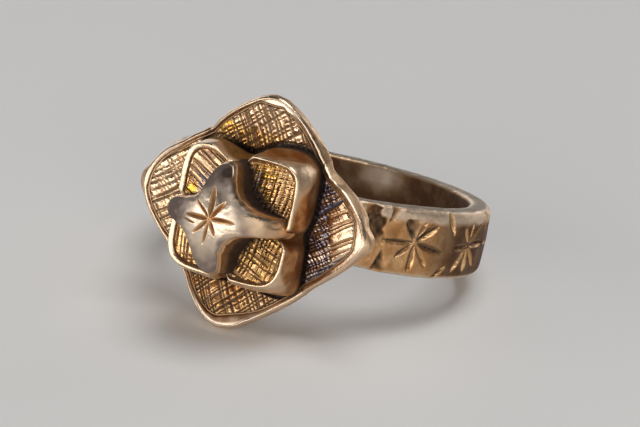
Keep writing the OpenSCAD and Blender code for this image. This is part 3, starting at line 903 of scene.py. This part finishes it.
def build_inner_rose():
    """The inner rose: sections from its hidden foot up the smooth wall, over the rim and down to the
    hatched floor of the cups, carried round."""
    sizes = bpy.context.scene.ring_sizes
    angle = even_angles(lambda t: cup_crest(t)[0], 900)
    degrees = turn_from(np.degrees(angle), 0)
    crest, cleft = cup_crest(angle)
    between = np.clip(cleft / 0.4, 0, 1)
    foot, level = foot_of_cups(angle)
    # The rim falls off in a broad round shoulder before the wall
    shoulder = crest + 0.40 + 0.06 * np.cos(angle) - 0.05 * np.sin(angle) - cleft
    top = BACK + 4.62 - 0.22 * cleft / 0.4 + 0.03 * round_waves(angle, (3, 5, 9), 12)
    lip = crest - 1.1 * cleft
    floor_edge = lip - 0.26 - 0.14 * ease(-np.cos(angle), -0.2, 0.8)
    r, b, row, at = sections(angle, [
        # name, radius, height, grid steps to the next row
        ("hidden middle", 0.5, BACK + 0.3, 2),
        ("hidden", foot * 0.9, BACK + 0.3, 2),
        ("foot", foot - 0.06, level - 0.08, 8),
        ("wall", shoulder * 0.45 + foot * 0.55, (level + top - 1.3) / 2, 6),
        ("shoulder", shoulder, top - 1.35, 4),
        ("high shoulder", shoulder - 0.04, top - 1.05, 7),
        ("slope", shoulder * 0.4 + lip * 0.6 + 0.08, top - 0.42, 5),
        ("rim edge", lip + 0.09, top - 0.07, 3),
        ("rim", lip, top, 3),
        ("inner rim", lip * 0.4 + (floor_edge + 0.1) * 0.6, top - 0.02, 2),
        ("rim end", floor_edge + 0.1, top - 0.09, 2),
        ("inner wall", floor_edge + 0.05, top - 0.17, 2),
        ("floor", floor_edge, BACK + 4.40, 64),
        ("floor middle", 1.7, BACK + 4.20, 0),
    ])
    s, a = r * np.cos(angle), r * np.sin(angle) - INNER_DROP
    on_floor = (row >= at["floor"]) * 1.0
    cut, lean, gold, stain_and_shade, slate = cup_marks(s, a, b)
    clear = on_floor * ease(floor_edge - r, 0.0, 0.12)
    wear = waves(s, b * 0.7 + a, 1.1, 71) * 0.012 + waves(s, a + b * 0.5, 2.6, 72) * 0.03
    depth = clear * sizes.cup_cut / MM * (cut + lean) + wear * (row > at["foot"])
    points = carved(laid(s, a, b), depth)
    # Amber lies on the lower wall and climbs towards the clefts, and almost to the rim on the right-hand
    # cups, whose corners alone stay bright; on the right-hand walls, which turn from the lights, it is
    # painted shade
    outside = row < at["rim edge"]
    down = top - b
    right_side = bell(degrees + 4, 36, 8) + bell(degrees - 71, 19, 4)
    # Painted shade dims the upper right corner of the wall
    corner = outside * bell(degrees - 47, 16, 4)
    rise = 2.2 - 1.5 * between + 0.25 * waves(s, a, 1.4, 73) - 2.2 * right_side - 0.4 * ease(-a, 0.5, 2.0)
    low = ease(down, rise - 0.25, rise + 0.45) * outside
    # Painted shade fills the clefts and the wedge of wall below the upper cleft, in amber, umber and some
    # fresh-gold tint
    start = 0.15 + 1.2 * ease(degrees, 112, 124)
    upper_cleft = outside * bell(degrees - 112, 27, 6) * ease(down, start, start + 0.5)
    shade = np.maximum(0.65 * outside * between * ease(down, 0.15, 0.6), upper_cleft)
    # Painted shade on the lower right-hand walls
    right_wall_shade = ease(down, 1.2, 3.0) * right_side * outside
    # Dirt and painted shade darken the foot of the wall, where it meets the fields
    deep = ease(level + 0.50 + 0.32 * bell(degrees - 66, 26, 4) - b, 0, 0.4) * outside
    inner_wall = (row > at["rim end"]) & (row <= at["floor"])
    # Dirt and painted shade darken the floor round the boss's foot
    near_boss = on_floor * ease(outline_of_boss(s, a) + 0.40 - np.hypot(s, a + BOSS_DROP), 0, 0.42)
    worn = (row >= at["rim edge"] - 2) & (row <= at["rim end"])
    # The upper right cup's cuts hold the least dirt
    grimy = 0.85 - 0.35 * ease(a, -0.4, 0.0) * ease(s, 0.0, 0.2)
    marks = {
        "rub_and_highlight": worn * 0.55 + 0.55 * outside * (1 - low) + 0.5 * clear * (1 - ease(cut, 0.1, 0.4)),
        "stain_and_shade": low * 0.72 + 0.2 * outside * right_side + 0.22 * corner + 0.9 * shade + on_floor * stain_and_shade
        + inner_wall * 0.4 + 0.6 * near_boss,
        "dirt_and_shade": 0.95 * deep + clear * ease(cut, 0.2, 0.6) * grimy + 0.3 * inner_wall + 0.5 * shade
        + 0.1 * right_wall_shade + 0.1 * corner + 0.9 * near_boss,
        "slate": clear * slate,
        "gold": clear * gold * (1 - 0.7 * ease(cut, 0.2, 0.6)) * (1 - near_boss) + 0.45 * upper_cleft,
        "dull": 0.6 * outside + 0.25 * worn,
    }
    material = gilded_silver("fire_gilt_silver_cups", hammer=0.3, scratch=0.4, dull=0.22)
    skin("inner_rose", points, marks, material)


# The boss's star as (start, end, width) of each ray, sideways and along the finger on the dome
BOSS_STAR = [
    ((0.00, -0.36), (-0.06, 1.78), 0.46), ((0.00, -0.34), (0.92, 0.94), 0.38),
    ((-0.04, -0.36), (1.80, -0.25), 0.42), ((-0.02, -0.38), (0.60, -1.40), 0.34),
    ((-0.02, -0.36), (-0.12, -2.10), 0.28), ((0.02, -0.36), (-0.98, -1.52), 0.34),
    ((0.04, -0.38), (-1.70, -0.42), 0.40), ((-0.95, -0.90), (-1.90, -0.70), 0.16),
    ((0.02, -0.40), (-1.18, 0.68), 0.32),
]
# Outline of the boss's upper edge by direction round its own middle
ARMS = [
    (-49.4, 1.90), (-30.7, 1.90), (-20.2, 2.13), (-12.6, 2.68), (-9.6, 3.20), (-8.4, 3.60), (-7.2, 3.95),
    (-3.9, 4.14), (4.1, 4.15), (10.5, 4.02), (12.8, 3.72), (14.8, 3.42), (18.4, 3.06), (24.4, 2.70),
    (35.3, 2.42), (50.1, 2.30), (62.2, 2.43), (73.3, 2.84), (80.3, 3.35), (85.3, 3.70), (91.8, 3.80),
    (98.4, 3.70), (102.9, 3.43), (108.5, 3.02), (116.2, 2.48), (129.7, 1.98), (144.5, 2.04),
    (158.2, 2.51), (166.6, 3.30), (174.5, 3.83), (181.7, 3.97), (188.3, 3.77), (194.4, 3.19),
    (202.9, 2.50), (220.3, 2.22), (238.9, 2.48), (250.3, 3.00), (257.0, 3.43), (264.5, 3.74),
    (273.0, 3.76), (282.0, 3.50), (287.7, 2.96), (293.8, 2.33),
]


def outline_of_boss(s, a):
    """Radius of the boss's outline in the direction of a point."""
    return round_table(np.arctan2(a + BOSS_DROP, s), ARMS, 1.2)


def build_boss():
    """The boss: a four-armed dome, its outline shrunk ring by ring to its crown, on steep sides that
    run down to the cups' floors. The right arm slopes down to the rim between two cups."""
    sizes = bpy.context.scene.ring_sizes
    angle = even_angles(lambda t: round_table(t, ARMS, 1.2), 840)
    degrees = np.degrees(angle)
    outline = round_table(angle, ARMS, 1.2)
    right, arm_end = bell(turn_from(degrees, 2), 38, 6), bell(turn_from(degrees, 2), 11, 6)

    def dome(r):
        """Height of the crown at a radius: a parabola, and a steeper fall along the right arm."""
        return BACK + 8.2 - 1.6 * (r / 3.75) ** 2 - right * (1.75 * np.clip(r / 4.1, 0, 1.1) ** 3.5)

    foot = BACK + 3.85 - 0.5 * arm_end
    undercut = 0.02 + 0.1 * bell(degrees - 22, 16, 4) + 0.4 * bell(degrees - 50, 30, 4) + 0.42 * arm_end
    foot_r = outline - undercut
    brow = dome(outline) - 0.6
    # The edge is rounded, most of all at the right arm's end, which rolls over into the cups' wall
    soft = 1.15 + 1.05 * arm_end
    r, b, row, at = sections(angle, [
        # name, radius, height, grid steps to the next row
        ("hidden middle", 0.4, foot - 0.1, 2),
        ("skirt", foot_r + 0.12 - 0.1 * arm_end, foot, 6),
        ("foot", foot_r, foot * 0.7 + brow * 0.3, 8),
        ("side", outline * 0.6 + foot_r * 0.4, foot * 0.3 + brow * 0.7, 6),
        ("brow", outline, dome(outline) - 0.50 * soft, 5),
        ("edge", outline - 0.05 * soft, dome(outline) - 0.30 * soft, 4),
        ("crown edge", outline - 0.16 * soft, dome(outline - 0.16 * soft) - 0.12 * soft, 4),
        ("crown", outline - 0.34 * soft, dome(outline - 0.34 * soft) - 0.03, 6),
        ("outer crown", outline * 0.76, dome(outline * 0.76), 14),
        ("inner crown", outline * 0.45, dome(outline * 0.45), 22),
        ("top", outline * 0.15, dome(outline * 0.15), 8),
        ("top middle", outline * 0.03, dome(outline * 0.03), 0),
    ])
    s, a = r * np.cos(angle), r * np.sin(angle) - BOSS_DROP
    on_crown = (row >= at["crown edge"]) * 1.0
    p, q = read_at(s, a, b, BOSS_PLANE)
    rays = [(0.6 + 1.6 * width) * chisel(p, q, start, end, width, lean=0.15, fullest=0.45)[0]
            for start, end, width in BOSS_STAR]
    star = np.max(rays, axis=0) * on_crown
    # A dent on the upper arm, and a small ring struck on the right arm's end
    dimple = oval(s, a, (0.25, 2.75), (0.42, 0.34), 3) * on_crown
    ring_mark = bell(np.hypot((s - 3.62) / 0.75, a - 0.03) - 0.26, 0.07) * (row >= at["brow"])
    depth = sizes.boss_cut / MM * star + 0.10 * dimple + 0.04 * ring_mark
    depth = depth + waves(s, a, 1.3, 81) * 0.012 + waves(s, a, 0.5, 82) * 0.003
    points = carved(laid(s, a, b), depth)
    side = (row < at["brow"]) * 1.0
    down = ease(row, at["brow"], at["foot"])
    edge = bell(row - at["edge"] - 1, 2.4)
    gilt_arm = right * ease(s, 1.6, 3.2)
    # Grey tarnish and painted shade lie on the arms' ends, but for the gilt right one, and along the crown's
    # left side
    grey_tarnish_and_shade = ease(np.hypot(s, a + BOSS_DROP) + 0.35 * waves(s, a, 1.1, 83), 1.5, 3.1) * (1 - right) * on_crown
    grey_tarnish_and_shade = grey_tarnish_and_shade * (1 - 0.6 * bell(degrees + 93, 30, 4)) + 0.75 * on_crown * ease(0.35 * a - s, 0.5, 1.9)
    # It rings the crown inside its edge as painted shade on the rounding, and lies thickest on the upper arm
    near_edge = ease(r / outline + 0.08 * waves(s, a, 0.6, 85), 0.66, 0.94) * (1 - right) * on_crown
    grey_tarnish_and_shade = np.maximum(grey_tarnish_and_shade, 0.9 * near_edge) + 0.5 * bell(degrees - 94, 24, 4) * on_crown * ease(r, 1.5, 2.9)
    grey_tarnish_and_shade = np.clip(grey_tarnish_and_shade * (0.95 + 0.2 * waves(s, a, 0.45, 86)), 0, 1.4)
    # A darker, duller band crosses the root of the right arm
    band = bell((s - 1.9) * 0.9 + (a - 0.3) * 0.43, 0.33) * ease(2.2 - np.abs(a + 0.2), 0, 0.8) * (s > 0)
    grey_tarnish_and_shade = np.maximum(grey_tarnish_and_shade, 0.75 * on_crown * band * (0.8 + 0.2 * waves(s, a, 0.8, 84)))
    in_star = ease(star, 0.05, 0.3)
    # The sides darken towards their foot with dirt and painted shade, and the rounded edge is painted with
    # shade
    marks = {
        "rub_and_highlight": (1 - side) * (0.95 - 0.5 * gilt_arm) * (1 - 0.9 * in_star) * (1 - 0.7 * edge),
        "stain_and_shade": side * 0.9 + 0.55 * ease(star, 0.1, 0.5) + 0.12 * gilt_arm + 0.45 * edge + 0.3 * grey_tarnish_and_shade,
        "dirt_and_shade": side * down + 0.3 * side + 0.6 * ease(star, 0.6, 1.0) + 0.56 * grey_tarnish_and_shade + 0.4 * dimple
        + 0.45 * ring_mark,
        "slate": 0.3 * np.clip(grey_tarnish_and_shade, 0, 1) * (1 - 0.8 * in_star),
        "dull": 0.2 + 0.3 * grey_tarnish_and_shade,
    }
    material = gilded_silver("rubbed_silver_boss", hammer=0.3, scratch=0.2, dull=0.25, pitting=0.35)
    skin("boss", points, marks, material)


def build_shoulders():
    """The two solder fillets: in each wedge between the round hoop and the flower's back, a hollow
    fillet whose section is carried along the finger and thins out at both ends."""
    sizes = bpy.context.scene.ring_sizes
    outer = (sizes.hole + sizes.thick) / MM
    material = gilded_silver("gilt_solder_fillet", hammer=0.5, scratch=0.5, dull=0.36)
    # Where the wedge starts sideways, and how far the fillet sinks into the hoop and the flower
    start, sunk = 4.6, 0.12
    turn = np.linspace(0, TURN, 64, endpoint=False)
    along = np.linspace(-1, 1, 41)[:, None]
    full = np.clip(1 - np.abs(along) ** 6, 0, 1) ** 0.35
    # Section: a lens from deep in the wedge out to its mouth, hollow on the open side
    inward = 0.5 - 0.5 * np.cos(turn)
    mouth = 6.45 + 0.06 * np.sin(3 * along)
    s = start + (mouth - start) * (1 - inward) * (0.9 + 0.1 * full)
    hoop_b = np.sqrt(outer ** 2 - s ** 2) - sunk
    back_b = BACK + sunk + 0.25 * ease(s, 5.5, 7)
    upper = 0.5 + 0.5 * np.sin(turn)
    b = hoop_b + (back_b - hoop_b) * upper
    s = s - 0.18 * np.sin(math.pi * upper) * (1 - inward) ** 2
    marks = {"rub_and_highlight": 0.2, "stain_and_shade": 0.6, "dirt_and_shade": 0.35, "dull": 0.5}
    for name, side in (("shoulder_right", 1), ("shoulder_left", -1)):
        skin(name, laid(side * s, 1.72 * along, b), marks, material)


# The stage

# The camera in the ring's directions: where it stands, in millimetres, and which ways it looks
CAMERA_AT = (107.398, 36.652, 241.746)
CAMERA_LOOK = (-0.40294, -0.14018, -0.90443)
CAMERA_UP = (-0.24743, 0.96809, -0.03981)
# Focal length in pixels of a picture 640 wide, and the sensor's width in millimetres
FOCAL, PICTURE_WIDE, SENSOR = 3916.17, 640, 36.0
# What the softboxes look at, and how far they stand from it, in metres
RING_MIDDLE, LAMP_REACH = (0, 0, 0.006), 0.45
WARM, COOL = (1.0, 0.98, 0.95), (0.97, 0.98, 1.0)
# The light is low and frontal, as in a table-top tent. Each softbox has a name, an azimuth from the
# bezel's side towards +X and an elevation in degrees, a width and a height in metres, watts and a tint
SOFTBOXES = [
    ("front", -8, 10, 0.30, 0.16, 0.64, WARM),
    ("front_right", 32, 10, 0.30, 0.16, 0.42, WARM),
    ("front_left", -50, 10, 0.28, 0.18, 0.62, WARM),
    ("by_camera", 36, 30, 0.16, 0.16, 0.17, WARM),
    ("top", 100, 80, 0.30, 0.26, 0.95, COOL),
    ("right", 74, 9, 0.20, 0.16, 0.16, WARM),
    ("back", 164, 12, 0.22, 0.18, 0.36, COOL),
    ("back_left", 228, 10, 0.34, 0.16, 0.28, COOL),
]
# The room's own faint light, and how far the floor reaches from the ring in metres
ROOM, ROOM_STRENGTH, FLOOR_REACH = (0.85, 0.88, 0.92, 1.0), 0.03, 3.0


def way(s, a, b):
    """A direction given sideways, along the finger and out to the bezel, in the frame."""
    return Vector(s * AXIS_S + a * AXIS_A + b * AXIS_B)


def aim(thing, at, look, up):
    """Stands a camera or a lamp at a place, looking one way, with its upper side up."""
    back = -look.normalized()
    right = up.cross(back).normalized()
    turned = Matrix((right, back.cross(right), back)).transposed().to_4x4()
    thing.matrix_world = Matrix.Translation(at) @ turned


def softbox(name, azimuth, elevation, wide, tall, watts, tint):
    """One softbox that faces the ring, from a row of SOFTBOXES."""
    lamp = bpy.data.lights.new(name, "AREA")
    lamp.shape, lamp.size, lamp.size_y, lamp.energy, lamp.color = "RECTANGLE", wide, tall, watts, tint
    thing = bpy.data.objects.new(name, lamp)
    bpy.context.scene.collection.objects.link(thing)
    side, high = azimuth * DEG, elevation * DEG
    level = math.cos(high)
    at = Vector((level * math.sin(side), -level * math.cos(side), math.sin(high))) * LAMP_REACH
    aim(thing, at, Vector(RING_MIDDLE) - at, Vector((0, 0, 1)))


def build_stage():
    """The pale floor, the soft studio light and the camera."""
    scene = bpy.context.scene
    corners = [(x * FLOOR_REACH, y * FLOOR_REACH, 0) for x, y in ((-1, -1), (1, -1), (1, 1), (-1, 1))]
    mesh = bpy.data.meshes.new("floor")
    mesh.from_pydata(corners, [], [(0, 1, 2, 3)])
    mesh.materials.append(pale_floor())
    floor = bpy.data.objects.new("floor", mesh)
    scene.collection.objects.link(floor)
    world = bpy.data.worlds.new("studio")
    world.use_nodes = True
    world.node_tree.nodes["Background"].inputs["Color"].default_value = ROOM
    world.node_tree.nodes["Background"].inputs["Strength"].default_value = ROOM_STRENGTH
    scene.world = world
    for box in SOFTBOXES:
        softbox(*box)
    lens = bpy.data.cameras.new("photo_view")
    lens.sensor_fit, lens.sensor_width, lens.lens = "HORIZONTAL", SENSOR, FOCAL * SENSOR / PICTURE_WIDE
    lens.clip_start = 0.01
    camera = bpy.data.objects.new("photo_view", lens)
    scene.collection.objects.link(camera)
    at = Vector(laid(*(np.array(v) for v in CAMERA_AT)))
    aim(camera, at, way(*CAMERA_LOOK), way(*CAMERA_UP))
    scene.camera = camera
    scene.view_settings.view_transform = "Standard"


# Operators and panel

class RING_OT_hoop(Operator):
    """Adds the chiselled hoop"""
    bl_idname = "ring.hoop"
    bl_label = "Hoop"

    def execute(self, context):
        build_hoop()
        return {"FINISHED"}


class RING_OT_outer_rose(Operator):
    """Adds the four outer petals with their cross-hatched fields"""
    bl_idname = "ring.outer_rose"
    bl_label = "Outer Rose"

    def execute(self, context):
        build_outer_rose()
        return {"FINISHED"}


class RING_OT_inner_rose(Operator):
    """Adds the four cup-shaped inner petals"""
    bl_idname = "ring.inner_rose"
    bl_label = "Inner Rose"

    def execute(self, context):
        build_inner_rose()
        return {"FINISHED"}


class RING_OT_boss(Operator):
    """Adds the four-armed boss with its star"""
    bl_idname = "ring.boss"
    bl_label = "Boss"

    def execute(self, context):
        build_boss()
        return {"FINISHED"}


class RING_OT_shoulders(Operator):
    """Adds the solder fillets between the hoop and the bezel"""
    bl_idname = "ring.shoulders"
    bl_label = "Shoulders"

    def execute(self, context):
        build_shoulders()
        return {"FINISHED"}


class RING_OT_stage(Operator):
    """Adds the floor, the lights and the camera"""
    bl_idname = "ring.stage"
    bl_label = "Stage"

    def execute(self, context):
        build_stage()
        return {"FINISHED"}


PIECES = (
    RING_OT_hoop, RING_OT_outer_rose, RING_OT_inner_rose, RING_OT_boss, RING_OT_shoulders, RING_OT_stage)


class RING_PT_build(Panel):
    """Lists the ring's pieces, sizes and colours"""
    bl_label = "Rose Ring"
    bl_space_type = "VIEW_3D"
    bl_region_type = "UI"
    bl_category = "Ring"

    def draw(self, context):
        for piece in PIECES:
            self.layout.operator(piece.bl_idname)
        for group in (context.scene.ring_sizes, context.scene.ring_colours):
            for key in group.__annotations__:
                self.layout.prop(group, key)


CLASSES = (RingSizes, RingColours, *PIECES, RING_PT_build)


def register():
    for part in CLASSES:
        bpy.utils.register_class(part)
    bpy.types.Scene.ring_sizes = PointerProperty(type=RingSizes)
    bpy.types.Scene.ring_colours = PointerProperty(type=RingColours)


def unregister():
    del bpy.types.Scene.ring_colours
    del bpy.types.Scene.ring_sizes
    for part in reversed(CLASSES):
        bpy.utils.unregister_class(part)


def main():
    """Builds the whole ring and its stage."""
    register()
    bpy.ops.ring.hoop()
    bpy.ops.ring.outer_rose()
    bpy.ops.ring.inner_rose()
    bpy.ops.ring.boss()
    bpy.ops.ring.shoulders()
    bpy.ops.ring.stage()


if __name__ == "__main__":
    main()
